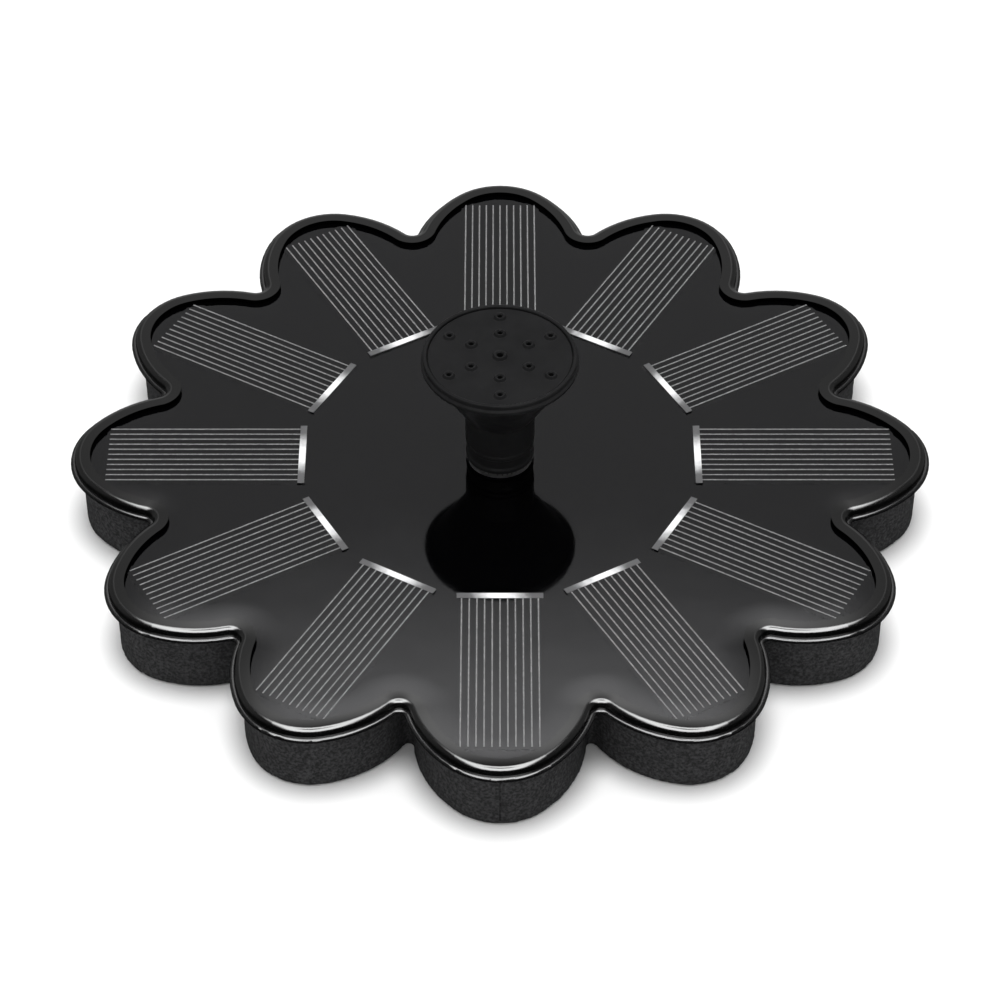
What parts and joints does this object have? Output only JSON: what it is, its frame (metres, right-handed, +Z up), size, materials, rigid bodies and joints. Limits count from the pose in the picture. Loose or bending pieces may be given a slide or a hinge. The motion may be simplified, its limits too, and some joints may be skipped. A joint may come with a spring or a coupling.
{
  "type": "floating solar fountain pump",
  "caption": "Flower-shaped solar panel on a foam float, with a slim submersible pump beneath and a pull-off shower nozzle on top.",
  "frame": {"origin": "centre of the foam float's flat underside", "axes": "+Z up through the nozzle; +X and -Y each run along a petal's centre line"},
  "size_m": [0.16, 0.16, 0.0399],
  "materials": {
    "cover_resin": "clear tinted resin, high gloss",
    "tray_plastic": "moulded, polished lip",
    "board_laminate": "black solder mask, satin",
    "tinned_ribbon": "solder-dipped, bright",
    "silver_print": "screen-printed silver",
    "cell_silicon": "anti-reflection coated silicon, satin",
    "closed_cell_foam": "cut closed-cell foam, fine grain",
    "tape_adhesive": "double-sided foam tape",
    "pump_plastic": "moulded, fine spark texture",
    "nozzle_plastic": "moulded, satin",
    "impeller_plastic": "moulded, satin",
    "bush_plastic": "self-lubricating, waxy",
    "bobbin_plastic": "moulded nylon",
    "seal_rubber": "moulded nitrile",
    "screw_steel": "stainless, machined",
    "core_steel": "stamped lamination edges",
    "copper_wire": "enamelled copper wire",
    "circuit_board": "green solder mask",
    "chip_body": "moulded epoxy",
    "capacitor_ceramic": "fired ceramic",
    "lead_red": "wire insulation",
    "lead_black": "wire insulation",
    "bearing_ceramic": "ground and polished",
    "magnet_ferrite": "sintered ferrite",
    "filter_sponge": "open-cell sponge",
    "potting_resin": "poured resin"
  },
  "bodies": {
    "float_panel": {"foam_float": "closed_cell_foam", "float_tape": "tape_adhesive", "panel_tray": "tray_plastic", "cell_board": "board_laminate", "solar_cell_01": "cell_silicon", "solar_cell_02": "cell_silicon", "solar_cell_03": "cell_silicon", "solar_cell_04": "cell_silicon", "solar_cell_05": "cell_silicon", "solar_cell_06": "cell_silicon", "solar_cell_07": "cell_silicon", "solar_cell_08": "cell_silicon", "solar_cell_09": "cell_silicon", "solar_cell_10": "cell_silicon", "solar_cell_11": "cell_silicon", "solar_cell_12": "cell_silicon", "cell_fingers": "silver_print", "busbar_ribbons": "tinned_ribbon", "clear_cover": "cover_resin", "outlet_grommet": "seal_rubber", "outlet_oring": "seal_rubber", "pump_housing": "pump_plastic", "pump_screws": "screw_steel", "volute_cover": "pump_plastic", "volute_seal": "seal_rubber", "volute_screws": "screw_steel", "rotor_shaft": "bearing_ceramic", "lower_shaft_seat": "seal_rubber", "upper_shaft_seat": "seal_rubber", "lower_thrust_washer": "bearing_ceramic", "upper_thrust_washer": "bearing_ceramic", "stator_core": "core_steel", "coil_bobbin": "bobbin_plastic", "stator_coil": "copper_wire", "driver_board": "circuit_board", "driver_chip": "chip_body", "driver_capacitors": "capacitor_ceramic", "hall_sensor": "chip_body", "blocking_diode": "chip_body", "power_lead_positive": "lead_red", "power_lead_negative": "lead_black", "potting_resin": "potting_resin"},
    "rotor": {"impeller": "impeller_plastic", "rotor_magnet": "magnet_ferrite", "magnet_retainer": "impeller_plastic", "rotor_bush": "bush_plastic"},
    "strainer": {"strainer_cap": "pump_plastic", "filter_sponge": "filter_sponge"},
    "nozzle_base": {"nozzle_tube": "nozzle_plastic"},
    "nozzle_head": {"spray_head": "nozzle_plastic"},
    "nozzle_plate": {"spray_plate": "nozzle_plastic"}
  },
  "joints": [
    {"name": "impeller_spin", "type": "hinge", "parent": "float_panel", "child": "rotor", "pos_m": [-0.0105, -0.00675, 0.0083], "axis": [0, 0, 1], "continuous": true},
    {"name": "strainer_pull", "type": "slide", "parent": "float_panel", "child": "strainer", "axis": [0, 0, -1], "range_m": [0, 0.012]},
    {"name": "nozzle_pull", "type": "slide", "parent": "float_panel", "child": "nozzle_base", "axis": [0, 0, 1], "range_m": [0, 0.015]},
    {"name": "spray_head_turn", "type": "hinge", "parent": "nozzle_base", "child": "nozzle_head", "pos_m": [0, 0, 0.0285], "axis": [0, 0, 1], "continuous": true},
    {"name": "spray_plate_pull", "type": "slide", "parent": "nozzle_head", "child": "nozzle_plate", "axis": [0, 0, 1], "range_m": [0, 0.01]}
  ]
}
